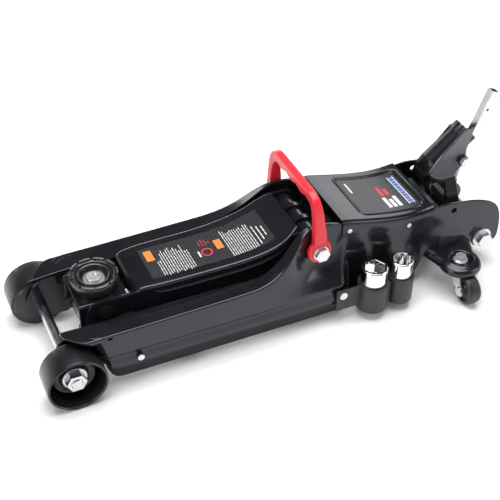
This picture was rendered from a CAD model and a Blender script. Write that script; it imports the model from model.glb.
import math
import random

import bmesh
import bpy
import numpy as np
from mathutils import Matrix, Vector


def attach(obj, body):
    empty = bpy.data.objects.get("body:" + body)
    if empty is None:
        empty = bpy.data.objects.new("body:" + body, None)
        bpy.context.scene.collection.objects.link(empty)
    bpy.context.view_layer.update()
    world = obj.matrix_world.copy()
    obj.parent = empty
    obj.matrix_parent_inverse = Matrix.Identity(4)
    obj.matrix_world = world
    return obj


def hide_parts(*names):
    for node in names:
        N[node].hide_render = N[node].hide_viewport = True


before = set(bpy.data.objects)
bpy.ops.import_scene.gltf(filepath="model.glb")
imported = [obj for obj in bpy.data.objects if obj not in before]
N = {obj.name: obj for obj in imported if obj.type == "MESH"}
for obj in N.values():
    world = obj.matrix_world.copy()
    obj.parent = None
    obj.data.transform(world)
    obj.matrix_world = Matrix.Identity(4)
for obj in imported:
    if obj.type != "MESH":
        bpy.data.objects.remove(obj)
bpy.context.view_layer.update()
random.seed(7)


# =============================================================== materials
def new_mat(name):
    m = bpy.data.materials.new(name)
    m.use_nodes = True
    nt = m.node_tree
    nt.nodes.clear()
    out = nt.nodes.new("ShaderNodeOutputMaterial")
    bsdf = nt.nodes.new("ShaderNodeBsdfPrincipled")
    nt.links.new(bsdf.outputs[0], out.inputs[0])
    return m, nt, bsdf


def obj_coords(nt):
    return nt.nodes.new("ShaderNodeTexCoord").outputs["Object"]


def noise(nt, vec, scale, detail=3.0, rough=0.5, distort=0.0, stretch=None):
    if stretch is not None:
        mp = nt.nodes.new("ShaderNodeMapping")
        mp.inputs["Scale"].default_value = stretch
        nt.links.new(vec, mp.inputs["Vector"])
        vec = mp.outputs[0]
    n = nt.nodes.new("ShaderNodeTexNoise")
    n.inputs["Scale"].default_value = scale
    n.inputs["Detail"].default_value = detail
    n.inputs["Roughness"].default_value = rough
    n.inputs["Distortion"].default_value = distort
    nt.links.new(vec, n.inputs["Vector"])
    return n.outputs["Fac"]


def ramp(nt, fac, stops):
    r = nt.nodes.new("ShaderNodeValToRGB")
    el = r.color_ramp.elements
    el[0].position, el[0].color = stops[0][0], (*stops[0][1], 1)
    el[1].position, el[1].color = stops[-1][0], (*stops[-1][1], 1)
    for p, c in stops[1:-1]:
        e = el.new(p)
        e.color = (*c, 1)
    nt.links.new(fac, r.inputs[0])
    return r.outputs[0]


def maprange(nt, fac, a, b, c, d):
    r = nt.nodes.new("ShaderNodeMapRange")
    r.inputs["From Min"].default_value = a
    r.inputs["From Max"].default_value = b
    r.inputs["To Min"].default_value = c
    r.inputs["To Max"].default_value = d
    nt.links.new(fac, r.inputs["Value"])
    return r.outputs["Result"]


def math_node(nt, op, a, b):
    m = nt.nodes.new("ShaderNodeMath")
    m.operation = op
    for i, v in enumerate((a, b)):
        if isinstance(v, (int, float)):
            m.inputs[i].default_value = v
        else:
            nt.links.new(v, m.inputs[i])
    return m.outputs[0]


def mix_color(nt, fac, a, b):
    m = nt.nodes.new("ShaderNodeMix")
    m.data_type = "RGBA"
    if isinstance(fac, (int, float)):
        m.inputs["Factor"].default_value = fac
    else:
        nt.links.new(fac, m.inputs["Factor"])
    for sock, v in ((m.inputs[6], a), (m.inputs[7], b)):
        if isinstance(v, tuple):
            sock.default_value = (*v, 1)
        else:
            nt.links.new(v, sock)
    return m.outputs[2]


def bump(nt, bsdf, layers):
    """layers: (height socket, strength, distance in metres)"""
    last = None
    for h, s, d in layers:
        b = nt.nodes.new("ShaderNodeBump")
        b.inputs["Strength"].default_value = s
        b.inputs["Distance"].default_value = d
        nt.links.new(h, b.inputs["Height"])
        if last is not None:
            nt.links.new(last, b.inputs["Normal"])
        last = b.outputs[0]
    nt.links.new(last, bsdf.inputs["Normal"])
    if "Coat Normal" in bsdf.inputs:
        nt.links.new(last, bsdf.inputs["Coat Normal"])


def edge_mask(nt, radius, lo=0.02, hi=0.25):
    """1 on convex and concave edges, from the difference between the rounded and the true normal."""
    bv = nt.nodes.new("ShaderNodeBevel")
    bv.samples = 4
    bv.inputs["Radius"].default_value = radius
    geo = nt.nodes.new("ShaderNodeNewGeometry")
    dot = nt.nodes.new("ShaderNodeVectorMath")
    dot.operation = "DOT_PRODUCT"
    nt.links.new(bv.outputs[0], dot.inputs[0])
    nt.links.new(geo.outputs["Normal"], dot.inputs[1])
    return maprange(nt, dot.outputs["Value"], 1.0 - lo, 1.0 - hi, 0.0, 1.0)


def enamel(name, dark=(0.0055, 0.0060, 0.0072), light=(0.0095, 0.0105, 0.0130), rough=(0.15, 0.25), coat=0.32, peel=0.05, wear=0.35, spec=0.36):
    m, nt, b = new_mat(name)
    v = obj_coords(nt)
    big = noise(nt, v, 14, 4, 0.55)
    fine = noise(nt, v, 260, 4, 0.6)
    dust = noise(nt, v, 900, 2, 0.7)
    col = mix_color(nt, maprange(nt, big, 0.3, 0.7, 0, 1), dark, light)
    specks = maprange(nt, dust, 0.70, 0.78, 0.0, 0.22)
    col = mix_color(nt, specks, col, (0.11, 0.11, 0.11))
    if wear > 0:
        em = edge_mask(nt, 0.0009)
        patch = maprange(nt, noise(nt, v, 60, 5, 0.7), 0.50, 0.66, 0.0, 1.0)
        em = math_node(nt, "MULTIPLY", em, math_node(nt, "MULTIPLY", patch, wear))
        col = mix_color(nt, em, col, (0.16, 0.165, 0.175))
    nt.links.new(col, b.inputs["Base Color"])
    r = maprange(nt, math_node(nt, "ADD", math_node(nt, "MULTIPLY", big, 0.6), math_node(nt, "MULTIPLY", fine, 0.4)), 0.3, 0.7, rough[0], rough[1])
    nt.links.new(r, b.inputs["Roughness"])
    # faces that point down are made duller
    geo = nt.nodes.new("ShaderNodeNewGeometry")
    sep = nt.nodes.new("ShaderNodeSeparateXYZ")
    nt.links.new(geo.outputs["Normal"], sep.inputs[0])
    dull = maprange(nt, sep.outputs["Z"], -0.24, -0.06, 0.22, 1.0)
    nt.links.new(math_node(nt, "MULTIPLY", dull, spec), b.inputs["Specular IOR Level"])
    nt.links.new(math_node(nt, "MULTIPLY", dull, coat), b.inputs["Coat Weight"])
    b.inputs["Coat Roughness"].default_value = 0.06
    b.inputs["Specular Tint"].default_value = (0.84, 0.91, 1.0, 1.0)
    bump(nt, b, [(noise(nt, v, 18, 2, 0.5), 0.12, 0.0008), (fine, peel, 0.0004), (noise(nt, v, 1500, 2, 0.6), peel * 0.6, 0.0001)])
    return m


def casting(name, dark=(0.008, 0.008, 0.009), light=(0.020, 0.020, 0.022), rough=(0.24, 0.42), grain=0.35):
    m, nt, b = new_mat(name)
    v = obj_coords(nt)
    big = noise(nt, v, 40, 5, 0.6)
    vor = nt.nodes.new("ShaderNodeTexVoronoi")
    vor.inputs["Scale"].default_value = 520
    nt.links.new(v, vor.inputs["Vector"])
    col = mix_color(nt, maprange(nt, big, 0.3, 0.7, 0, 1), dark, light)
    em = edge_mask(nt, 0.0008)
    patch = maprange(nt, noise(nt, v, 90, 5, 0.7), 0.46, 0.62, 0.0, 0.55)
    col = mix_color(nt, math_node(nt, "MULTIPLY", em, patch), col, (0.20, 0.20, 0.205))
    nt.links.new(col, b.inputs["Base Color"])
    nt.links.new(maprange(nt, big, 0.3, 0.7, rough[0], rough[1]), b.inputs["Roughness"])
    b.inputs["Coat Weight"].default_value = 0.35
    b.inputs["Coat Roughness"].default_value = 0.12
    bump(nt, b, [(noise(nt, v, 150, 5, 0.65), grain, 0.0006), (vor.outputs["Distance"], grain * 0.35, 0.0003)])
    return m


def metal(name, c0, c1, rough=(0.18, 0.34), grain_dir=(1, 1, 1), grain=0.12, tint=None, pits=0.05):
    m, nt, b = new_mat(name)
    v = obj_coords(nt)
    big = noise(nt, v, 55, 5, 0.6)
    brushed = noise(nt, v, 900, 3, 0.6, stretch=grain_dir)
    col = mix_color(nt, maprange(nt, big, 0.25, 0.75, 0, 1), c0, c1)
    if tint:
        col = mix_color(nt, maprange(nt, noise(nt, v, 120, 3, 0.5), 0.5, 0.7, 0, 0.45), col, tint)
    grime = maprange(nt, noise(nt, v, 260, 6, 0.7), 0.60, 0.72, 0.0, 0.5)
    col = mix_color(nt, grime, col, (0.22, 0.215, 0.21))
    nt.links.new(col, b.inputs["Base Color"])
    b.inputs["Metallic"].default_value = 1.0
    nt.links.new(maprange(nt, math_node(nt, "ADD", math_node(nt, "MULTIPLY", big, 0.5), math_node(nt, "MULTIPLY", brushed, 0.5)), 0.3, 0.7, rough[0], rough[1]), b.inputs["Roughness"])
    bump(nt, b, [(brushed, grain, 0.0001), (noise(nt, v, 700, 3, 0.6), pits, 0.0002)])
    return m


def plastic(name, dark, light, rough=(0.34, 0.46), grain=0.18, scale=1400, spec=0.5, sss=0.0, coat=0.0):
    m, nt, b = new_mat(name)
    v = obj_coords(nt)
    big = noise(nt, v, 30, 4, 0.55)
    col = mix_color(nt, maprange(nt, big, 0.3, 0.7, 0, 1), dark, light)
    em = edge_mask(nt, 0.0009)
    col = mix_color(nt, math_node(nt, "MULTIPLY", em, 0.25), col, tuple(min(1.0, c * 1.7 + 0.01) for c in light))
    nt.links.new(col, b.inputs["Base Color"])
    nt.links.new(maprange(nt, noise(nt, v, 90, 4, 0.6), 0.3, 0.7, rough[0], rough[1]), b.inputs["Roughness"])
    b.inputs["Specular IOR Level"].default_value = spec
    b.inputs["Coat Weight"].default_value = coat
    if sss:
        b.inputs["Subsurface Weight"].default_value = sss
        b.inputs["Subsurface Radius"].default_value = (0.004, 0.0012, 0.001)
    bump(nt, b, [(noise(nt, v, scale, 3, 0.6), grain, 0.00012), (noise(nt, v, 45, 3, 0.5), 0.06, 0.0006)])
    return m


def printed(name, color, rough=0.42):
    """Printed film: a solid ink with a fine screen and slight fading."""
    m, nt, b = new_mat(name)
    v = obj_coords(nt)
    fade = maprange(nt, noise(nt, v, 110, 5, 0.6), 0.3, 0.75, 0.0, 0.28)
    col = mix_color(nt, fade, color, tuple(c * 0.72 for c in color))
    nt.links.new(col, b.inputs["Base Color"])
    nt.links.new(maprange(nt, noise(nt, v, 500, 3, 0.6), 0.3, 0.7, rough - 0.06, rough + 0.08), b.inputs["Roughness"])
    bump(nt, b, [(noise(nt, v, 2200, 2, 0.5), 0.08, 0.00005)])
    return m


M = {
    "enamel": enamel("black_enamel_paint"),
    "enamel_wheel": enamel("wheel_black_paint", (0.007, 0.007, 0.0075), (0.013, 0.013, 0.014), (0.24, 0.36), 0.3, 0.07, 0.6),
    "enamel_in": enamel("inner_black_paint", (0.006, 0.006, 0.0065), (0.011, 0.011, 0.012), (0.30, 0.42), 0.15, 0.08, 0.2),
    "cast": casting("black_painted_casting"),
    "cast_smooth": enamel("black_cast_paint", (0.014, 0.0148, 0.017), (0.026, 0.027, 0.030), (0.26, 0.38), 0.9, 0.10, 0.7, 0.9),
    "cast_dark": enamel("socket_cast_paint", (0.006, 0.006, 0.0065), (0.011, 0.011, 0.012), (0.28, 0.4), 0.12, 0.2, 0.4, 0.22),
    "cast_rough": casting("unit_casting", (0.010, 0.010, 0.011), (0.024, 0.024, 0.026), (0.35, 0.5), 0.5),
    "zinc": metal("zinc_plate", (0.62, 0.63, 0.66), (0.80, 0.81, 0.83), (0.28, 0.44), (1, 1, 1), 0.08, (0.70, 0.69, 0.60)),
    "zinc_rod": metal("zinc_bar", (0.66, 0.67, 0.69), (0.82, 0.83, 0.85), (0.16, 0.30), (1, 1, 0.05), 0.16, (0.66, 0.70, 0.76)),
    "axle": metal("axle_steel", (0.56, 0.57, 0.60), (0.76, 0.77, 0.79), (0.14, 0.28), (1, 0.05, 1), 0.15, None),
    "ground": metal("ground_steel", (0.50, 0.50, 0.51), (0.66, 0.66, 0.67), (0.16, 0.28), (0.05, 1, 1), 0.14, None),
    "chrome": metal("chrome_plate", (0.80, 0.80, 0.81), (0.90, 0.90, 0.91), (0.035, 0.09), (1, 1, 0.04), 0.03, None, 0.01),
    "red": plastic("red_moulded_plastic", (0.66, 0.012, 0.024), (0.80, 0.024, 0.040), (0.30, 0.42), 0.16, 1300, 0.5, 0.08, 0.12),
    "tray": plastic("black_moulded_plastic", (0.014, 0.014, 0.0155), (0.022, 0.022, 0.024), (0.42, 0.55), 0.22, 1500, 0.55),
    "caster": plastic("caster_nylon", (0.010, 0.010, 0.011), (0.020, 0.020, 0.021), (0.32, 0.50), 0.25, 700, 0.5),
    "rubber": plastic("seal_rubber", (0.012, 0.012, 0.012), (0.02, 0.02, 0.02), (0.6, 0.75), 0.2, 900, 0.3),
    "label": printed("label_film", (0.020, 0.021, 0.023), 0.30),
    "ink_white": printed("ink_white", (0.78, 0.78, 0.78)),
    "ink_orange": printed("ink_orange", (0.80, 0.22, 0.035)),
    "ink_red": printed("ink_red", (0.62, 0.03, 0.035)),
    "ink_blue": printed("ink_blue", (0.16, 0.24, 0.60)),
    "ink_pale": printed("ink_pale", (0.55, 0.58, 0.66)),
}

NODE_MAT = {
    "side_plate_left": "enamel", "side_plate_right": "enamel", "front_cross_tube": "enamel_in", "front_axle": "axle",
    "front_wheel_left": "enamel_wheel", "front_wheel_right": "enamel_wheel", "axle_washers": "zinc", "axle_nuts": "zinc",
    "main_pivot_shaft": "ground", "carry_handle_bolts": "zinc", "carry_handle": "red", "lift_arm": "enamel", "heel_pin": "ground",
    "saddle_pivot_pins": "enamel_in", "saddle_bracket": "enamel", "levelling_pin": "ground", "saddle_screw": "zinc", "saddle": "cast",
    "levelling_rod_left": "enamel_in", "levelling_rod_right": "enamel_in", "levelling_anchor_pins": "ground",
    "hydraulic_base": "cast_rough", "ram_cylinder": "ground", "reservoir_tube": "enamel_in", "cylinder_head": "cast_rough",
    "filler_plug": "rubber", "ram_piston": "ground", "piston_seal": "rubber", "ram_yoke": "cast", "pump_plunger": "ground",
    "pump_gland": "zinc", "release_valve": "cast", "unit_cross_rods": "enamel_in", "handle_socket": "cast_dark",
    "handle_clamp_screw": "zinc", "socket_pivot_bolts": "zinc", "roller_pin": "ground", "pump_roller": "ground",
    "universal_cross": "ground", "release_rod": "zinc_rod", "caster_bracket_left": "enamel", "caster_bracket_right": "enamel",
    "caster_king_bolts": "zinc", "caster_fork_left": "zinc", "caster_fork_right": "zinc", "caster_wheel_left": "caster",
    "caster_wheel_right": "caster", "caster_axle_left": "zinc", "caster_axle_right": "zinc", "unit_cover": "enamel",
    "cover_rivets": "zinc", "joint_hood": "rubber", "socket_tray": "tray", "body_screws": "zinc", "hex_socket": "chrome", "twelve_point_socket": "chrome",
}
BEVEL = {"carry_handle": 2.5, "lift_arm": 1.4, "saddle_bracket": 1.2, "saddle": 0.7, "handle_socket": 1.0, "socket_tray": 0.8,
         "hydraulic_base": 1.2, "axle_nuts": 0.5, "socket_pivot_bolts": 0.7, "carry_handle_bolts": 0.6, "caster_king_bolts": 0.5,
         "unit_cover": 1.5, "side_plate_left": 0.8, "side_plate_right": 0.8, "hex_socket": 0.3, "twelve_point_socket": 0.3,
         "caster_wheel_left": 0.5, "caster_wheel_right": 0.5, "release_rod": 0.4, "body_screws": 0.5, "cover_rivets": 0.5}


def finish_mesh(o, width=0.5, angle=35.0, smooth_angle=32.0):
    me = o.data
    me.shade_smooth()
    me.set_sharp_from_angle(angle=math.radians(smooth_angle))
    if width > 0:
        bv = o.modifiers.new("edge_round", "BEVEL")
        bv.width = width * 0.001
        bv.segments = 2
        bv.limit_method = "ANGLE"
        bv.angle_limit = math.radians(angle)
        bv.use_clamp_overlap = True
        bv.harden_normals = False
        bv.miter_outer = "MITER_ARC"


for n, o in N.items():
    o.data.materials.clear()
    o.data.materials.append(M[NODE_MAT[n]])
    w = o.modifiers.new("weld", "WELD")
    w.merge_threshold = 0.000005
    bv = o.modifiers.new("edge_round", "BEVEL")
    bv.width = BEVEL.get(n, 0.4) * 0.001
    bv.segments = 2
    bv.limit_method = "ANGLE"
    bv.angle_limit = math.radians(35)
    bv.use_clamp_overlap = True
    wn = o.modifiers.new("weighted", "WEIGHTED_NORMAL")
    wn.keep_sharp = False


# ================================================================ mesh tools
def mesh_object(name, verts, faces, mat, body, bevel=0.5, smooth_angle=32.0, bevel_angle=35.0):
    """verts in millimetres"""
    me = bpy.data.meshes.new(name)
    me.from_pydata([(x * 0.001, y * 0.001, z * 0.001) for x, y, z in verts], [], faces)
    me.update()
    o = bpy.data.objects.new(name, me)
    bpy.context.scene.collection.objects.link(o)
    bm = bmesh.new()
    bm.from_mesh(me)
    bmesh.ops.recalc_face_normals(bm, faces=bm.faces)
    bm.to_mesh(me)
    bm.free()
    me.materials.append(M[mat])
    finish_mesh(o, bevel, bevel_angle, smooth_angle)
    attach(o, body)
    return o


class Shells:
    """Collects closed shells into one mesh."""

    def __init__(self):
        self.v, self.f = [], []

    def add(self, verts, faces):
        k = len(self.v)
        self.v += [tuple(p) for p in verts]
        self.f += [tuple(i + k for i in f) for f in faces]

    def sheet(self, P, t):
        """Closed sheet from a grid of outer points (nu, nv, 3) and its offset by t against the grid normal."""
        P = np.asarray(P, float)
        du = np.gradient(P, axis=0)
        dv = np.gradient(P, axis=1)
        nrm = np.cross(du, dv)
        nrm /= np.maximum(np.linalg.norm(nrm, axis=2, keepdims=True), 1e-9)
        Q = P - nrm * t
        nu, nv = P.shape[:2]
        vs = [tuple(p) for p in P.reshape(-1, 3)] + [tuple(q) for q in Q.reshape(-1, 3)]
        off = nu * nv
        fs = []
        for i in range(nu - 1):
            for j in range(nv - 1):
                a, b, c, d = i * nv + j, (i + 1) * nv + j, (i + 1) * nv + j + 1, i * nv + j + 1
                fs.append((a, b, c, d))
                fs.append((off + d, off + c, off + b, off + a))
        for i in range(nu - 1):
            a, b = i * nv, (i + 1) * nv
            fs.append((b, a, off + a, off + b))
            a, b = i * nv + nv - 1, (i + 1) * nv + nv - 1
            fs.append((a, b, off + b, off + a))
        for j in range(nv - 1):
            fs.append((j, j + 1, off + j + 1, off + j))
            a, b = (nu - 1) * nv + j, (nu - 1) * nv + j + 1
            fs.append((b, a, off + a, off + b))
        self.add(vs, fs)

    def tube(self, rings, close=False):
        """Closed solid from rings of equal point count; ends capped unless close joins last to first."""
        n = len(rings[0])
        vs = [tuple(p) for r in rings for p in r]
        fs = []
        m = len(rings)
        for i in range(m if close else m - 1):
            for j in range(n):
                a, b = i * n + j, i * n + (j + 1) % n
                c, d = ((i + 1) % m) * n + (j + 1) % n, ((i + 1) % m) * n + j
                fs.append((a, b, c, d))
        if not close:
            fs.append(tuple(range(n))[::-1])
            fs.append(tuple((m - 1) * n + j for j in range(n)))
        self.add(vs, fs)

    def lathe(self, profile, centre, axis, seg=96):
        """profile: closed loop of (r, h); axis 'X', 'Y' or 'Z'"""
        rings = []
        cx, cy, cz = centre
        for k in range(seg):
            a = 2 * math.pi * k / seg
            c, s = math.cos(a), math.sin(a)
            ring = []
            for r, h in profile:
                if axis == "Z":
                    ring.append((cx + r * c, cy + r * s, cz + h))
                elif axis == "Y":
                    ring.append((cx + r * c, cy + h, cz + r * s))
                else:
                    ring.append((cx + h, cy + r * c, cz + r * s))
            rings.append(ring)
        self.tube(rings, close=True)

    def prism(self, pts, y0, y1):
        """(x, z) outline extruded along Y"""
        n = len(pts)
        vs = [(x, y0, z) for x, z in pts] + [(x, y1, z) for x, z in pts]
        fs = [tuple(range(n)), tuple(range(n, 2 * n))[::-1]]
        fs += [(i, (i + 1) % n, n + (i + 1) % n, n + i) for i in range(n)]
        self.add(vs, fs)

    def object(self, name, mat, body, bevel=0.5, smooth_angle=32.0, bevel_angle=35.0):
        return mesh_object(name, self.v, self.f, mat, body, bevel, smooth_angle, bevel_angle)


def round_poly(pts, radii, k=6, m=3):
    """Open polyline with rounded corners and a fixed number of points."""
    P = [np.array(p, float) for p in pts]
    out = [P[0]]
    n = len(P)
    starts = {}
    for i in range(1, n - 1):
        a, b = P[i - 1] - P[i], P[i + 1] - P[i]
        la, lb = np.linalg.norm(a), np.linalg.norm(b)
        d = min(radii[i], la * 0.45, lb * 0.45)
        p0, p2 = P[i] + a / max(la, 1e-9) * d, P[i] + b / max(lb, 1e-9) * d
        starts[i] = [((1 - s) ** 2) * p0 + 2 * s * (1 - s) * P[i] + s * s * p2 for s in np.linspace(0, 1, k)]
    prev = P[0]
    for i in range(1, n):
        nxt = starts[i][0] if i in starts else P[i]
        for s in np.linspace(0, 1, m + 2)[1:]:
            out.append(prev * (1 - s) + nxt * s)
        if i in starts:
            out += starts[i][1:]
            prev = starts[i][-1]
    return np.array(out)


def hide(node):
    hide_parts(node)


def cut(o, cutters):
    """Subtract simple cylinders, given as (centre mm, axis, radius mm, length mm), and keep the result as plain mesh."""
    made = []
    for c, ax, r, ln in cutters:
        bpy.ops.mesh.primitive_cylinder_add(vertices=48, radius=r * 0.001, depth=ln * 0.001, location=[q * 0.001 for q in c],
                                            rotation=(math.radians(90) if ax == "Y" else 0, math.radians(90) if ax == "X" else 0, 0))
        t = bpy.context.active_object
        made.append(t)
        b = o.modifiers.new("cut", "BOOLEAN")
        b.operation = "DIFFERENCE"
        b.solver = "EXACT"
        b.object = t
    mods = [m for m in o.modifiers if m.type != "BOOLEAN"]
    keep = [(m.type, m.width if m.type == "BEVEL" else None) for m in mods]
    for m in mods:
        o.modifiers.remove(m)
    dg = bpy.context.evaluated_depsgraph_get()
    me = bpy.data.meshes.new_from_object(o.evaluated_get(dg), depsgraph=dg)
    o.modifiers.clear()
    o.data = me
    for t in made:
        bpy.data.objects.remove(t)
    w = next((k[1] for k in keep if k[0] == "BEVEL"), None)
    finish_mesh(o, (w or 0.0005) * 1000)
    return o


# ============================================================== side plates
skin = [
    (39.0, [(79, 38), (82, 42), (82.4, 48), (83, 54), (83, 68), (83, 85.3), (54, 83.4)]),
    (42.5, [(79, 28), (83, 38), (82.2, 47), (83, 53), (83, 68), (83, 85.4), (54, 83.4)]),
    (47.0, [(79, 19), (84.2, 36), (81.8, 47), (83, 53), (83, 68), (83, 85.5), (54, 83.4)]),
    (53.0, [(79, 13.5), (84.8, 36), (81.6, 47), (83, 53), (83, 68), (83, 85.6), (54, 83.5)]),
    (60.0, [(79, 12), (85, 36), (81.5, 47), (83, 53), (83, 68), (83, 85.7), (54, 83.6)]),
    (84.0, [(79, 12), (85, 36), (81.5, 47), (83, 53), (83, 68), (83, 86.0), (54, 83.8)]),
    (185.0, [(79, 12), (85, 36), (81.5, 47), (83, 53), (83, 69), (83, 87.9), (56.5, 86.0)]),
    (230.0, [(79, 12), (85, 36), (81.5, 47), (83, 53), (83, 71), (83, 89.0), (60, 88.0)]),
    (245.0, [(79, 12), (85, 36), (81.5, 47), (83, 53), (83, 72), (82.5, 90.6), (63.5, 90.5)]),
    (258.0, [(79, 12), (85, 36), (81.5, 47), (83, 53.5), (82.5, 74), (81, 94), (63, 95.5)]),
    (270.0, [(79, 12), (85, 36), (81.5, 47), (83, 54), (81, 78), (78, 100), (61, 102.5)]),
    (284.0, [(79, 12), (85, 36), (81.5, 47), (83, 55), (77, 84), (72.5, 111), (57.5, 113.5)]),
    (297.0, [(79, 12), (85, 36), (81.5, 47), (83, 55), (70, 88), (66, 124), (53.5, 127)]),
    (308.0, [(79, 12), (85, 36), (81.5, 47), (83, 55), (61.5, 90), (58.5, 135), (50.6, 136.5)]),
    (316.0, [(79, 12), (85, 36), (81.5, 47), (83, 55), (58, 86), (56.2, 138.6), (49.8, 139.3)]),
    (338.0, [(79, 12), (85, 36), (81.5, 47), (83, 55), (55.3, 79), (54.3, 137.4), (49.8, 137.6)]),
    (350.0, [(79, 12), (85, 36), (81.5, 47), (83, 54), (57, 84), (54, 135), (50.2, 135.1)]),
    (357.5, [(78, 13), (84.5, 36), (81, 47), (82, 54), (56, 92), (54, 132.2), (50.6, 132.3)]),
    (361.5, [(76, 14.5), (80, 36), (77.5, 47), (78, 54), (54.6, 100), (54, 131.3), (50.6, 131.4)]),
    (367.0, [(69, 15.5), (70, 36), (68, 47), (68, 54), (54.2, 106), (54, 130.0), (50.8, 130.1)]),
    (373.0, [(64.3, 16), (62.4, 36), (61.2, 47), (60.5, 54), (54.2, 107), (54, 128.6), (50.9, 128.7)]),
    (388.0, [(64.3, 16), (62.2, 36), (61, 47), (60.3, 54), (54.2, 105), (54, 125.2), (51, 125.3)]),
    (430.0, [(64.3, 16), (62.2, 36), (61, 47), (60.3, 54), (54.2, 99), (54, 115.5), (51, 115.6)]),
    (455.0, [(64.3, 16), (62.2, 36), (61, 47), (60.3, 54), (54.2, 95.3), (54, 110.5), (51, 110.6)]),
    (470.0, [(62, 17), (60.5, 36), (60, 46), (59, 53), (54.2, 94), (54, 109.9), (51, 110.0)]),
    (479.0, [(58.5, 18), (58, 36), (57.4, 46), (57, 53), (54.2, 90), (54, 110.6), (51.2, 110.7)]),
    (484.0, [(58, 30), (57.6, 40), (57.4, 47), (57, 53), (54.3, 88), (54, 111.1), (51.3, 111.2)]),
    (489.0, [(58.5, 46.0), (58.4, 48.5), (58.2, 51), (57.6, 55), (54.4, 85), (54, 111.6), (51.3, 111.7)]),
    (502.0, [(62.5, 48.0), (62.4, 49.5), (62.2, 51.5), (61.6, 55), (54.8, 83), (54, 113.4), (51.4, 113.5)]),
    (520.0, [(60, 48.5), (60, 50), (59.8, 52), (59.2, 55.5), (54.4, 76), (54, 114.6), (51.4, 114.7)]),
    (540.0, [(57.4, 48.5), (57.2, 50), (57, 52), (56.6, 55.5), (54.1, 68), (54, 111.8), (51.4, 111.9)]),
    (554.0, [(54.8, 46.5), (54.7, 49), (54.6, 52), (54.4, 56), (54, 64), (54, 109.6), (51.4, 109.7)]),
    (564.0, [(54, 41), (54, 45), (54, 50), (54, 55), (54, 62), (54, 107.4), (51.4, 107.5)]),
    (571.0, [(54, 30.5), (54, 37), (54, 44), (54, 50), (54, 60), (54, 105.4), (51.4, 105.5)]),
    (578.0, [(54, 26.8), (54, 34), (54, 42), (54, 49), (54, 60), (54, 103.0), (51.4, 103.1)]),
    (590.0, [(54, 26.5), (54, 34), (54, 42), (54, 49), (54, 60), (54, 97.6), (51.4, 97.7)]),
    (598.0, [(54, 26.7), (54, 34), (54, 42), (54, 49), (54, 60), (54, 91.6), (51.4, 91.7)]),
    (603.5, [(54, 28.4), (54, 34), (54, 42), (54, 48), (54, 58), (54, 84.0), (51.4, 84.1)]),
    (607.0, [(54, 31.6), (54, 36), (54, 42), (54, 47), (54, 56), (54, 74.0), (51.4, 74.1)]),
    (609.0, [(54, 36.4), (54, 39), (54, 43), (54, 47), (54, 53), (54, 62.0), (51.4, 62.1)]),
    (609.6, [(54, 41.0), (54, 42.5), (54, 44.5), (54, 47), (54, 50), (54, 54.0), (51.4, 54.1)]),
]
SX = np.array([s[0] for s in skin])
SP = np.array([s[1] for s in skin], float)


def skin_at(x):
    return np.array([[np.interp(x, SX, SP[:, i, j]) for j in range(2)] for i in range(SP.shape[1])])


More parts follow.
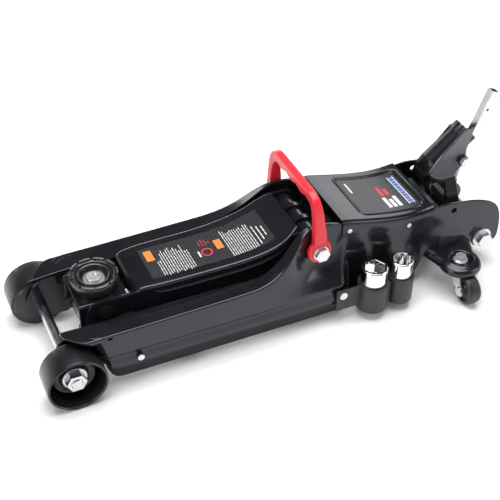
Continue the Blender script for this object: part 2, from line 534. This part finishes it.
def side_plate_mesh(side, node):
    sh = Shells()
    xs = np.unique(np.concatenate([np.linspace(39, 60, 12), np.linspace(60, 228, 30), np.linspace(228, 366, 64),
                                   np.linspace(366, 560, 60), np.linspace(560, 598, 18), 609.6 - 11.6 * (1 - np.linspace(0, 1, 16)) ** 2]))
    raw = np.array([skin_at(x) for x in xs])
    # smooth the pressed transitions, but keep the front and rear outlines crisp
    out = raw.copy()
    for i, x in enumerate(xs):
        sig = (7.0 if x < 345 else 3.2) * min(1.0, max(0.0, (x - 60) / 30)) * min(1.0, max(0.0, (575 - x) / 30))
        if sig > 0.3:
            w = np.exp(-0.5 * ((xs - x) / sig) ** 2) * np.gradient(xs)
            out[i] = (raw * w[:, None, None]).sum(0) / w.sum()
    rad = [0, 5, 5, 6, 22, 2.6, 0]
    P = []
    for x, sec in zip(xs, out):
        rr = list(rad)
        k = min(1.0, max(0.0, (x - 340) / 20))
        rr[4] = 22 * (1 - k) + 9 * k
        rr[5] = 2.6 * (1 - k) + 2.0 * k
        yz = round_poly(sec, rr, 6, 3)
        # front corner turns inward behind the wheel
        d = max(0.0, 1.0 - (x - 39.0) / 11.0)
        inset = 9.0 * (1 - math.sqrt(max(0.0, 1 - d * d)))
        # and its front edge leans forward towards the top flange
        f = max(0.0, 1.0 - (x - 39.0) / 21.0)
        P.append([(x - f * float(np.interp(z, [45, 62, 85], [0, 7.5, 15.5])), side * (y - inset if y > 66 else y), z) for y, z in yz])
    P = np.array(P)
    sh.sheet(P if side < 0 else P[:, ::-1], 3.2)
    # web behind the wheel and nose that carries the axle
    path = [(-17.6, 56.0), (-8, 56.0), (6, 56.0), (20, 56.0), (30, 56.0)]
    for a in np.linspace(0, 90, 8)[1:]:
        path.append((30 + 9.5 * math.sin(math.radians(a)), 56 + 9.5 * (1 - math.cos(math.radians(a)))))
    path += [(39.5, 70), (39.6, 74.5)]
    low = {-17.6: 37.0, -8: 21.0, 6: 17.2, 20: 17.6, 30: 17.0}
    G = []
    for i, (x, y) in enumerate(path):
        if x <= 30:
            lo = low[x] if x in low else 17.0
            hi = {-17.6: 50.0, -8: 70.0, 6: 81.5}.get(x, 82.5)
        else:
            lo, hi = 17.0 + (y - 56) * 1.0, 82.5
        G.append([(x, side * y, z) for z in np.linspace(lo, hi, 10)])
    G = np.array(G)
    nose = Shells()
    nose.sheet(G if side < 0 else G[:, ::-1], 3.2)
    nose.object("axle_nose_" + ("right" if side > 0 else "left"), "enamel", "chassis", 0.6, 40, 50)
    # top flange carried forward over the wheel, outer edge rolled down
    F = []
    for x in np.concatenate([np.linspace(-4.4, 22, 20), np.linspace(24, 50, 12)]):
        yo = float(np.interp(x, [-4.4, -1.5, 3.8, 9.0, 13.2, 17.0, 21.7, 24], [58.6, 64.2, 69.5, 75.8, 79.4, 81.6, 82.8, 83.0]))
        yi = float(np.interp(x, [-4.4, 10, 30, 46], [51.0, 52.0, 53.0, 54.0]))
        zt = np.interp(x, [-3, 6, 40], [83.6, 84.4, 85.2])
        k = min(1.0, max(0.0, (x - 12) / 12))
        sec = round_poly([(yo, zt - 2.6 - 2.9 * k), (yo, zt), (yi, zt - 0.6), (yi - 0.6, zt - 4.5)], [0, 0.8 + 3.2 * k, 1.4, 0], 6, 3)
        F.append([(x, side * y, z) for y, z in sec])
    F = np.array(F)
    sh.sheet(F if side < 0 else F[:, ::-1], 2.4)
    name = "pressed_side_plate_" + ("right" if side > 0 else "left")
    o = sh.object(name, "enamel", "chassis", 0.7, 40, 50)
    cut(o, [((531, side * 52, 101), "Y", 4.2, 20)])
    hide(node)
    return o


side_plate_mesh(-1, "side_plate_left")
side_plate_mesh(1, "side_plate_right")


# =============================================================== front wheels
def front_wheel(side, node):
    prof = [(7.1, 59.4), (30.5, 59.4), (31.8, 59.8), (33.0, 61.2), (35.6, 61.6), (36.6, 62.4), (37.0, 63.6), (37.0, 97.0), (36.7, 98.4),
            (36.0, 99.2), (35.2, 99.5), (34.3, 99.3), (33.6, 98.6), (33.2, 97.4), (32.4, 72), (31.6, 69.2), (30.4, 67.4), (29.2, 66.9),
            (28.2, 67.2), (27.3, 68.6), (26.8, 72.0), (26.4, 79.4), (25.8, 80.6), (24.9, 81.0), (23.8, 80.7), (22.6, 79.8), (18.4, 79.5), (16.9, 80.4), (15.8, 82.0), (7.1, 82.0)]
    sh = Shells()
    sh.lathe([(r, side * h) for r, h in prof], (0, 0, 37), "Y", 128)
    o = sh.object("cup_wheel_" + ("right" if side > 0 else "left"), "enamel_wheel", "front_wheel_" + ("right" if side > 0 else "left"), 0.0, 28)
    hide(node)


front_wheel(-1, "front_wheel_left")
front_wheel(1, "front_wheel_right")

# ===================================================================== saddle
def saddle_mesh():
    sh = Shells()
    prof = [(8.2, 95.1), (25.0, 95.1), (25.8, 95.9), (25.8, 104.8), (26.6, 105.8), (29.2, 106.2), (29.7, 106.8), (29.7, 111.4), (29.2, 112.0), (24.8, 112.0),
            (23.8, 111.4), (23.4, 109.2), (22.4, 108.5), (21.4, 108.6), (20.9, 109.3), (20.6, 111.8), (20.0, 112.4), (18.4, 112.4), (17.6, 111.8), (17.2, 108.4),
            (16.6, 105.0), (15.6, 104.12), (8.2, 104.12)]
    sh.lathe(prof, (56.2, 0, 0), "Z", 120)
    for k in range(10):
        mid = 23.2 + 36 * k
        rings = []
        for a in np.linspace(mid - 13.2, mid + 13.2, 10):
            c, q = math.cos(math.radians(a)), math.sin(math.radians(a))
            rings.append([(56.2 + r * c, r * q, h) for r, h in ((24.9, 111.5), (24.9, 113.6), (25.4, 114.1), (28.9, 114.1), (29.5, 113.6), (29.6, 111.5))])
        sh.tube(rings)
    o = sh.object("toothed_saddle", "cast", "saddle", 0.0, 40)
    hide("saddle")


saddle_mesh()

# =================================================================== lift arm
ARM = [(92.0, 37.8, 86.0, 68.0), (92.4, 37.9, 91.0, 66.6), (93.6, 38.1, 96.2, 65.6), (96.0, 38.4, 100.2, 64.6), (99.6, 38.9, 102.9, 63.0),
       (104.5, 39.6, 104.3, 62.0), (112, 40.6, 104.7, 61.0), (130.0, 42.3, 104.8, 60.5), (160, 42.8, 104.7, 60.5), (190.0, 43.0, 104.7, 61.0),
       (215.0, 43.8, 105.4, 63.0), (238.0, 45.0, 107.2, 66.0), (256.0, 46.0, 110.0, 72.0), (270.0, 46.6, 113.6, 79.0),
       (282.0, 46.8, 118.4, 86.0), (293.0, 46.4, 124.6, 90.0), (300.0, 43.5, 129.2, 91.0), (308.0, 39.5, 133.0, 92.0)]
AX = np.array([a[0] for a in ARM])
AV = np.array([a[1:] for a in ARM])


def arm_at(x):
    """half width, top and bottom of the arm at x, smoothed"""
    xs = np.linspace(x - 10, x + 10, 9)
    w = np.exp(-0.5 * ((xs - x) / 4.0) ** 2)
    xs = np.clip(xs, 92, 308)
    if x < 118 or x > 300:
        return np.array([np.interp(x, AX, AV[:, j]) for j in range(3)])
    return np.array([(np.interp(xs, AX, AV[:, j]) * w).sum() / w.sum() for j in range(3)])


def arm_top(x, y):
    """height of the arm's upper face, with a slight crown"""
    w, t, b = arm_at(x)
    return t - 0.25 * (y / w) ** 2


def lift_arm_mesh():
    sh = Shells()
    s = np.concatenate([[92.0, 92.1, 92.4, 93.0, 94.0, 95.4, 97.2, 99.6, 102.4, 106, 110, 114, 118.5], np.linspace(124, 240, 24), np.linspace(245, 308, 26)])
    P = []
    for x in s:
        w, t, b = arm_at(x)
        lip = 1.0 if x < 300 else 0.6
        pts = [(-w + 3.0 * lip, b), (-w - 0.2, b + 1.0), (-w, b + 8.0), (-w, t), (w, t), (w, b + 8.0), (w + 0.2, b + 1.0), (w - 3.0 * lip, b)]
        sec = round_poly(pts, [0, 2.0, 4.0, 3.6, 3.6, 4.0, 2.0, 0], 6, 4)
        P.append([(x, y, z) for y, z in sec])
    P = np.array(P)
    sh.sheet(P, 4.0)
    # longitudinal stiffening lip under each upper edge
    for side in (-1, 1):
        G = []
        for x in np.linspace(120, 296, 50):
            w, t, b = arm_at(x)
            f = min(1.0, (x - 120) / 10, (296 - x) / 10)
            z0 = t - 12.0
            G.append([(x, side * (w + dy * f + 0.02), z0 + dz) for dy, dz in ((-1.5, 3.4), (0.4, 2.4), (1.3, 1.0), (1.6, -0.4), (1.0, -1.6), (-1.5, -2.6))])
        sh.tube([g + [(g[-1][0], side * (arm_at(g[0][0])[0] - 2.6), g[0][2] - 3.0)] for g in G])
        # ears round the saddle pivot, with a rounded end
        a, b = sorted((side * 34.5, side * 38.5))
        pts = [(31.6, 63), (32.0, 70), (33.2, 82), (35.6, 90.6), (39.3, 95.8), (44.4, 98.4), (50.7, 99.6), (60.6, 100), (71, 99.4), (81.6, 98),
               (90, 98.6), (98, 99.8), (98, 73), (93, 72.3), (74, 71), (66, 66), (58, 61), (48, 58), (38, 57.6), (33, 59)][::-1]
        sh.prism(pts, a, b)
        a, b = sorted((side * 42.0, side * 46.0))
        pts = [(300, 92)]
        for k in range(0, 29):
            ang = math.radians(-115 + 215 * k / 28)
            pts.append((327 + 20 * math.cos(ang), 107.5 + 20 * math.sin(ang)))
        pts += [(306, 128), (300, 127)]
        sh.prism(pts, a, b)
        # heel plates
        a, b = sorted((side * 10.2, side * 17.5))
        pts = []
        for k in range(0, 15):
            ang = math.radians(-150 + 180 * k / 14 + 30)
            pts.append((348 + 11.5 * math.cos(ang), 71.1 + 11.5 * math.sin(ang)))
        for k in range(0, 15):
            ang = math.radians(30 + 180 * k / 14)
            pts.append((327 + 19 * math.cos(ang), 107.5 + 19 * math.sin(ang)))
        sh.prism(pts, a, b)
    sh.lathe([(9.08, -49.2), (14.4, -49.2), (15.0, -48.6), (15.0, 48.6), (14.4, 49.2), (9.08, 49.2)], (327, 0, 107.5), "Y", 64)
    o = sh.object("lift_arm_pressing", "enamel", "lift_arm", 0.7, 36, 40)
    hide("lift_arm")


lift_arm_mesh()


# =============================================================== carry handle
def carry_handle_mesh():
    lean = math.atan2(5.5, 87.2)
    up = Vector((-math.sin(lean), 0, math.cos(lean)))
    nx = Vector((math.cos(lean), 0, math.sin(lean)))
    o0 = Vector((327, 0, 107.5))
    # centre line in the handle's plane (u across, v up), and half thickness in that plane
    ctrl = [(-63.9, 0), (-64.5, 10), (-64.9, 20), (-63.7, 34), (-61.5, 51), (-59.0, 61), (-54.4, 68.6), (-47.6, 72.4), (-40, 73.4), (-30, 73.5), (-15, 73.5), (0, 73.5)]
    ctrl = ctrl + [(-u, v) for u, v in ctrl[:-1][::-1]]
    C = np.array(ctrl, float)
    # arc-length resample with Catmull-Rom
    pts = []
    for i in range(len(C) - 1):
        p0, p1, p2, p3 = C[max(i - 1, 0)], C[i], C[i + 1], C[min(i + 2, len(C) - 1)]
        for t in np.linspace(0, 1, 12, endpoint=False):
            pts.append(0.5 * ((2 * p1) + (-p0 + p2) * t + (2 * p0 - 5 * p1 + 4 * p2 - p3) * t * t + (-p0 + 3 * p1 - 3 * p2 + p3) * t ** 3))
    pts.append(C[-1])
    pts = np.array(pts)
    rings = []
    for i, (u, v) in enumerate(pts):
        a, b = pts[max(i - 1, 0)], pts[min(i + 1, len(pts) - 1)]
        t = (b - a) / np.linalg.norm(b - a)
        nin = np.array([-t[1], t[0]])        # in-plane normal, outwards on the left leg going up
        f = min(1.0, max(0.0, (v - 48) / 20))
        g = float(np.interp(v, [0, 16], [0.72, 1.0]))
        hin = (5.7 + 1.3 * f) * g              # half thickness on the inner side
        hout = (5.7 + 1.4 * f) * g
        if abs(u) < 44 and v > 66:
            hin += 2.0 * math.cos(2 * math.pi * (u - 4) / 28.0) * min(1.0, (44 - abs(u)) / 8)
        hw = float(np.interp(v, [0, 10, 20, 32, 50, 66, 73], [9.6, 9.4, 8.8, 8.0, 6.8, 5.5, 5.2]))
        ring = []
        for k in range(40):
            th = 2 * math.pi * k / 40
            c, s = math.cos(th), math.sin(th)
            e = 0.33
            px = math.copysign(abs(c) ** e, c)
            py = math.copysign(abs(s) ** e, s)
            off = py * (hout if py > 0 else hin)
            # nin points to the outside of the loop for this winding
            q = np.array([u, v]) + nin * off
            w = px * hw
            P = o0 + Vector((0, q[0], 0)) + up * q[1] + nx * w
            ring.append(tuple(P))
        rings.append(ring)
    sh = Shells()
    sh.tube(rings)
    for side in (-1, 1):
        prof = [(5.15, 59.6), (13.2, 59.6), (14.6, 59.9), (15.6, 60.8), (16.0, 62.2), (16.0, 65.6), (15.6, 67.0), (14.8, 67.8), (13.8, 68.1), (11.6, 68.1), (11.2, 67.7), (10.9, 67.7), (5.15, 67.7)]
        sh.lathe([(r, side * h) for r, h in prof], (327, 0, 107.5), "Y", 72)
    o = sh.object("carry_handle_grip", "red", "carry_handle", 0.0, 50)
    hide("carry_handle")


carry_handle_mesh()

# ================================================================= unit cover
COV = np.array([(363.4, 134.7, 21), (370, 133.6, 21), (376.0, 132.4, 21), (388.0, 129.4, 21), (402.0, 125.8, 20), (420.0, 121.6, 19),
                (438.0, 118.2, 19), (455.0, 115.9, 19), (470.0, 115.0, 19), (484.0, 115.6, 19), (498.4, 117.3, 19)])


def cov_z(x):
    xs = np.linspace(x - 12, x + 12, 9)
    w = np.exp(-0.5 * ((xs - x) / 5) ** 2)
    if x < 376 or x > 486:
        return float(np.interp(x, COV[:, 0], COV[:, 1]))
    return float((np.interp(xs, COV[:, 0], COV[:, 1]) * w).sum() / w.sum())


def rrect(x, y, cx, hx, hy, r):
    """signed distance to a rounded rectangle"""
    qx, qy = abs(x - cx) - hx + r, abs(y) - hy + r
    return math.hypot(max(qx, 0), max(qy, 0)) + min(max(qx, qy), 0) - r


def cover_top(x, y):
    z = cov_z(x)
    d = rrect(x, y, 445.0, 46.5, 41.8, 7.0)
    # rolled border and sunk label panel
    z += 0.9 * math.exp(-((d - 0.4) / 1.5) ** 2)
    s = min(1.0, max(0.0, (-d - 0.6) / 2.2))
    z -= 1.5 * s * s * (3 - 2 * s)
    return z


def cover_mesh():
    sh = Shells()
    xs = np.concatenate([np.linspace(363.4, 394, 16), np.linspace(394.8, 402.5, 16), np.linspace(404, 486, 46), np.linspace(487, 494.5, 15), np.linspace(495.2, 498.4, 5)])
    ys = np.concatenate([np.linspace(-50.5, -45, 5), np.linspace(-44.2, -36.5, 16), np.linspace(-35, 35, 30), np.linspace(36.5, 44.2, 16), np.linspace(45, 50.5, 5)])
    P = []
    for x in xs:
        zc = cov_z(x)
        h = float(np.interp(x, COV[:, 0], COV[:, 2]))
        sec = [(-56.8, zc - h)] + [(-56.8, zc - h + k * (h - 6.3) / 4) for k in range(1, 5)]
        for k in range(1, 7):
            a = math.radians(180 - 15 * k)
            sec.append((-50.5 + 6.3 * math.cos(a), zc - 6.3 + 6.3 * math.sin(a)))
        sec += [(y, cover_top(x, y)) for y in ys[1:-1]]
        right = [(-y, z) for y, z in sec[:11]][::-1]
        sec += right
        P.append([(x, y, z) for y, z in sec])
    P = np.array(P)
    sh.sheet(P, 2.2)
    o = sh.object("unit_cover_pressing", "enamel", "chassis", 0.5, 40, 60)
    hide("unit_cover")


cover_mesh()


# ====================================================== handle socket walls
def socket_walls():
    near = [(197, 556, 570, 17.0), (188.5, 548.0, 568.6, 17.0), (180, 540.5, 567, 17.0), (173, 532.4, 564.4, 17.5), (166, 524.5, 562, 18.6), (161, 518.0, 561.4, 20.0),
            (156, 512.5, 561, 21.8), (152, 508.0, 557.2, 23.6), (148, 504.5, 553, 25.6), (144.5, 506.6, 546.6, 27.4), (141, 512, 541.6, 29.4), (138.5, 519.0, 540, 30.6)]
    far = [(186, 556, 569, 17.0), (176, 547.6, 565.2, 17.4), (166, 541, 562, 18.6), (156, 535.4, 554, 21.6), (147, 531, 546, 26.0), (134, 527.6, 543.4, 33.0)]
    sh = Shells()
    for side, rows in ((-1, near), (1, far)):
        R = np.array(sorted(rows), float)
        zs = np.linspace(R[0, 0], R[-1, 0], 64)
        V = np.array([[np.interp(z, R[:, 0], R[:, j]) for j in (1, 2, 3)] for z in zs])
        k = np.exp(-0.5 * (np.arange(-4, 5) / 1.7) ** 2)
        k /= k.sum()
        W = np.array([np.convolve(np.pad(V[:, j], 4, mode="reflect", reflect_type="odd"), k, mode="valid") for j in range(3)]).T
        P = []
        for z, (x0, x1, yo) in zip(zs, W):
            x0, x1, yo = x0 - 0.5, x1 + 0.5, yo + 0.7
            row = [(x0 + 0.2, yo - 3.0, z)]
            for a in np.linspace(0, 90, 6):
                row.append((x0 + 1.8 - 1.8 * math.cos(math.radians(a)), yo - 1.8 + 1.8 * math.sin(math.radians(a)), z))
            for t in np.linspace(0, 1, 12)[1:-1]:
                row.append((x0 + 1.8 + (x1 - x0 - 3.6) * t, yo, z))
            for a in np.linspace(90, 0, 6):
                row.append((x1 - 1.8 + 1.8 * math.cos(math.radians(a)), yo - 1.8 + 1.8 * math.sin(math.radians(a)), z))
            row.append((x1 - 0.2, yo - 3.0, z))
            P.append([(x, side * y, z) for x, y, z in row])
        P = np.array(P)
        sh.sheet(P[:, ::-1] if side < 0 else P, 2.4)
    o = sh.object("handle_socket_cheeks", "cast_smooth", "handle_socket", 0.0, 60)
    # castellated collar at the open end of the tube
    d = np.array([46.7, 0, 40.8]) / math.hypot(46.7, 40.8)
    w = np.array([-d[2], 0, d[0]])
    top = np.array([570.5, 0, 185.8])
    sh = Shells()
    for k in range(14):
        a0 = 2 * math.pi * (k + 0.18) / 14
        a1 = 2 * math.pi * (k + 0.82) / 14
        if math.cos((a0 + a1) / 2 - math.pi) > 0.72:
            continue
        rings = []
        for a in np.linspace(a0, a1, 5):
            c, q = math.cos(a), math.sin(a)
            ring = []
            for r, h in ((14.6, -12.6), (16.9, -12.6), (17.4, -11.9), (17.4, -0.9), (16.9, -0.2), (14.6, -0.2)):
                pt = top + d * h + (w * c + np.array([0, 1, 0]) * q) * r
                ring.append(tuple(pt))
            rings.append(ring)
        sh.tube(rings)
    o = sh.object("handle_socket_collar", "cast", "handle_socket", 0.3, 40)


socket_walls()


# ============================================================ caster brackets
def caster_bracket_mesh(side, node):
    sh = Shells()
    cx, cy = 523.2, side * 93.7
    prof = [(6.2, 49.9), (12.4, 49.9), (13.6, 50.4), (14.6, 51.6), (15.6, 52.9), (16.8, 53.4), (18.0, 53.0), (19.0, 52.2), (21.0, 51.8), (23.4, 51.3),
            (25.4, 50.2), (26.9, 48.4), (27.8, 46.0), (28.0, 43.6), (27.4, 41.6), (26.4, 40.7), (25.2, 40.9), (24.9, 42.2), (25.4, 44.2), (24.6, 46.2),
            (22.4, 47.4), (6.2, 47.4)]
    sh.lathe(prof, (cx, cy, 0), "Z", 96)
    G = []
    for i, s in enumerate(np.linspace(0, 1, 26)):
        yy = 56.0 + s * 36.0
        e = s * s * (3 - 2 * s)
        x0 = 488.5 + (cx - 27.2 - 488.5) * e
        x1 = 560.0 + (cx + 27.2 - 560.0) * e
        top = 52.2 - 0.8 * e
        row = []
        for t in np.linspace(0, 1, 34):
            u = 2 * t - 1
            edge = max(0.0, (abs(u) - 0.72) / 0.28)
            x = x0 + (x1 - x0) * t
            z = top - 9.0 * (1 - math.sqrt(max(0.0, 1 - edge ** 2.2)))
            row.append((x, side * yy, z))
        G.append(row)
    G = np.array(G)
    sh.sheet(G if side < 0 else G[:, ::-1], 2.6)
    o = sh.object("caster_bracket_pressing_" + ("right" if side > 0 else "left"), "enamel", "chassis", 0.0, 45)
    hide(node)


caster_bracket_mesh(-1, "caster_bracket_left")
caster_bracket_mesh(1, "caster_bracket_right")


# ==================================================================== decals
def patch(sh, x0, x1, y0, y1, top, lift=0.10, t=0.10, nx=None, ny=None):
    """Thin printed film that follows a surface."""
    nx = nx or max(2, int(abs(x1 - x0) / 2.0) + 2)
    ny = ny or max(2, int(abs(y1 - y0) / 3.0) + 2)
    P = np.array([[(x, y, top(x, y) + lift) for y in np.linspace(y0, y1, ny)] for x in np.linspace(x0, x1, nx)])
    sh.sheet(P, t)


def decals():
    # lift arm: film with rows of unreadable print, two orange boxes and a ring
    sh = Shells()
    patch(sh, 121, 282, -33, 33, arm_top, 0.12, 0.10, 90, 16)
    o = sh.object("arm_label_film", "label", "lift_arm", 0.0, 60)
    white, orange, red, pale = Shells(), Shells(), Shells(), Shells()
    rnd = random.Random(11)

    def dashes(sh, x, y0, y1, thick=0.9):
        y = y0
        while y < y1 - 2:
            ln = rnd.uniform(3.0, 9.0)
            ye = min(y1, y + ln)
            patch(sh, x - thick / 2, x + thick / 2, y, ye, arm_top, 0.20, 0.07, 2)
            y = ye + rnd.uniform(0.7, 1.3)

    for i, x in enumerate(np.arange(144, 181, 3.1)):
        dashes(white, x, -30 + (i % 3) * 1.5, 12 + rnd.uniform(-6, 10))
    for i, x in enumerate(np.arange(228, 262, 3.0)):
        dashes(white, x, -30, 18 - 0.5 * i + rnd.uniform(-3, 6))
    for x in (266, 271, 276):
        dashes(white, x, -28 + (x - 266), 8 - (x - 266) * 0.8, 1.2)
    for x in (137.5, 140.5):
        dashes(white, x, -28, 0)
    patch(orange, 126, 136, 3, 23, arm_top, 0.20, 0.07)
    patch(orange, 214, 223, -9, 9, arm_top, 0.20, 0.07)
    ring = []
    for k in range(48):
        a = 2 * math.pi * k / 48
        ring.append([(200 + r * math.cos(a), -8 + r * math.sin(a)) for r in (5.6, 7.4)])
    vs, fs = [], []
    for k, pr in enumerate(ring):
        for (x, y) in pr:
            for dz in (0.20, 0.13):
                vs.append((x, y, arm_top(x, y) + dz))
    for k in range(48):
        a, b = 4 * k, 4 * ((k + 1) % 48)
        fs += [(a, b, b + 2, a + 2), (a + 1, a + 3, b + 3, b + 1), (a, a + 1, b + 1, b), (a + 2, b + 2, b + 3, a + 3)]
    red.add(vs, fs)
    for i, (x, y0, y1) in enumerate(((196, 6, 16), (200, 5, 18), (204, 5, 16), (208, 7, 13))):
        dashes(red, x, y0, y1, 1.1)
    patch(pale, 188.5, 191, -14, -3, arm_top, 0.20, 0.07)
    for s_, nme, mt in ((white, "arm_print_white", "ink_white"), (orange, "arm_print_orange", "ink_orange"), (red, "arm_print_red", "ink_red"), (pale, "arm_print_pale", "ink_pale")):
        o = s_.object(nme, mt, "lift_arm", 0.0, 60)
    # cover: film in the sunk panel, with a plain band and bars
    sh = Shells()
    patch(sh, 402.0, 488.0, -38.2, 38.2, cover_top, 0.14, 0.10, 60, 40)
    o = sh.object("cover_label_film", "label", "chassis", 0.0, 60)
    blue, white, red = Shells(), Shells(), Shells()

    def bars(sh, x0, x1, spans):
        for a, b in spans:
            patch(sh, x0, x1, a, b, cover_top, 0.24, 0.07)

    bars(blue, 476.5, 482.5, [(-31 + 6.1 * k, -26.6 + 6.1 * k) for k in range(10)])
    bars(white, 475.2, 476.2, [(-32, 30)])
    bars(white, 482.8, 483.8, [(-32, 30)])
    # plain stripes where a printed mark would be
    bars(white, 446, 451, [(-31, -9)])
    bars(white, 453.5, 458.5, [(-31, -14)])
    bars(white, 461, 466, [(-31, -9)])
    bars(red, 448, 453, [(-5, 14)])
    bars(red, 456, 461, [(-5, 9)])
    bars(white, 410, 412.5, [(8, 30)])
    for s_, nme, mt in ((blue, "cover_print_blue", "ink_blue"), (white, "cover_print_white", "ink_white"), (red, "cover_print_red", "ink_red")):
        o = s_.object(nme, mt, "chassis", 0.0, 60)


decals()

# ============================================================ floor and light
bpy.ops.mesh.primitive_plane_add(size=12, location=(0.3, 0, -0.0006))
floor = bpy.context.active_object
floor.name = "studio_floor"
fm, fnt, fb = new_mat("studio_floor_white")
fv = obj_coords(fnt)
fnt.links.new(mix_color(fnt, maprange(fnt, noise(fnt, fv, 3, 3, 0.5), 0.3, 0.7, 0, 1), (0.92, 0.92, 0.92), (0.95, 0.95, 0.95)), fb.inputs["Base Color"])
fb.inputs["Roughness"].default_value = 0.9
fb.inputs["Specular IOR Level"].default_value = 0.1
floor.data.materials.append(fm)


def area(name, loc, target, size, power, size_y=None, color=(1, 1, 1)):
    ld = bpy.data.lights.new(name, "AREA")
    ld.shape = "RECTANGLE"
    ld.size = size
    ld.size_y = size_y or size
    ld.energy = power
    ld.color = color
    lo = bpy.data.objects.new(name, ld)
    bpy.context.scene.collection.objects.link(lo)
    lo.location = loc
    d = Vector(target) - Vector(loc)
    lo.rotation_euler = d.to_track_quat("-Z", "Y").to_euler()
    return lo


area("softbox_top", (0.25, 0.15, 2.1), (0.28, 0, 0), 2.0, 58, 1.6)
area("softbox_left", (-1.7, -0.5, 1.1), (0.25, 0, 0.1), 1.0, 16, 1.4)
area("softbox_right", (1.9, -0.9, 0.9), (0.35, 0, 0.1), 0.9, 9, 1.2)
area("panel_rear_right", (1.75, 1.45, 1.11), (0.42, 0, 0.12), 0.8, 4.5, 0.8)
area("strip_back", (0.1, 1.7, 0.55), (0.3, 0, 0.08), 1.8, 6, 0.25)

world = bpy.data.worlds.new("studio_world")
bpy.context.scene.world = world
world.use_nodes = True
wnt = world.node_tree
wnt.nodes.clear()
wo = wnt.nodes.new("ShaderNodeOutputWorld")
bg = wnt.nodes.new("ShaderNodeBackground")
tc = wnt.nodes.new("ShaderNodeTexCoord")
sep = wnt.nodes.new("ShaderNodeSeparateXYZ")
wnt.links.new(tc.outputs["Generated"], sep.inputs[0])
grad = ramp(wnt, sep.outputs["Z"], [(0.0, (0.95, 0.95, 0.95)), (0.22, (0.60, 0.61, 0.63)), (0.42, (0.13, 0.13, 0.135)), (0.8, (0.10, 0.10, 0.105)), (1.0, (0.5, 0.5, 0.51))])
wnt.links.new(grad, bg.inputs["Color"])
bg.inputs["Strength"].default_value = 1.0
wnt.links.new(bg.outputs[0], wo.inputs[0])

bpy.context.scene.view_settings.view_transform = "Standard"
bpy.context.scene.view_settings.look = "None"

# ==================================================================== camera
cam_data = bpy.data.cameras.new("camera")
cam = bpy.data.objects.new("camera", cam_data)
bpy.context.scene.collection.objects.link(cam)
yaw, pitch, roll = math.radians(-25.09), math.radians(39.62), math.radians(1.05)
back = Vector((math.sin(yaw) * math.cos(pitch), -math.cos(yaw) * math.cos(pitch), math.sin(pitch)))
right = Vector((math.cos(yaw), math.sin(yaw), 0))
up = back.cross(right)
cx = math.cos(roll) * right + math.sin(roll) * up
cy = -math.sin(roll) * right + math.cos(roll) * up
cam.matrix_world = Matrix(((cx.x, cy.x, back.x, -0.1953), (cx.y, cy.y, back.y, -0.9773), (cx.z, cy.z, back.z, 0.9749), (0, 0, 0, 1)))
cam_data.sensor_width = 36.0
cam_data.lens = 79.14
cam_data.clip_start = 0.01
cam_data.clip_end = 50
bpy.context.scene.camera = cam
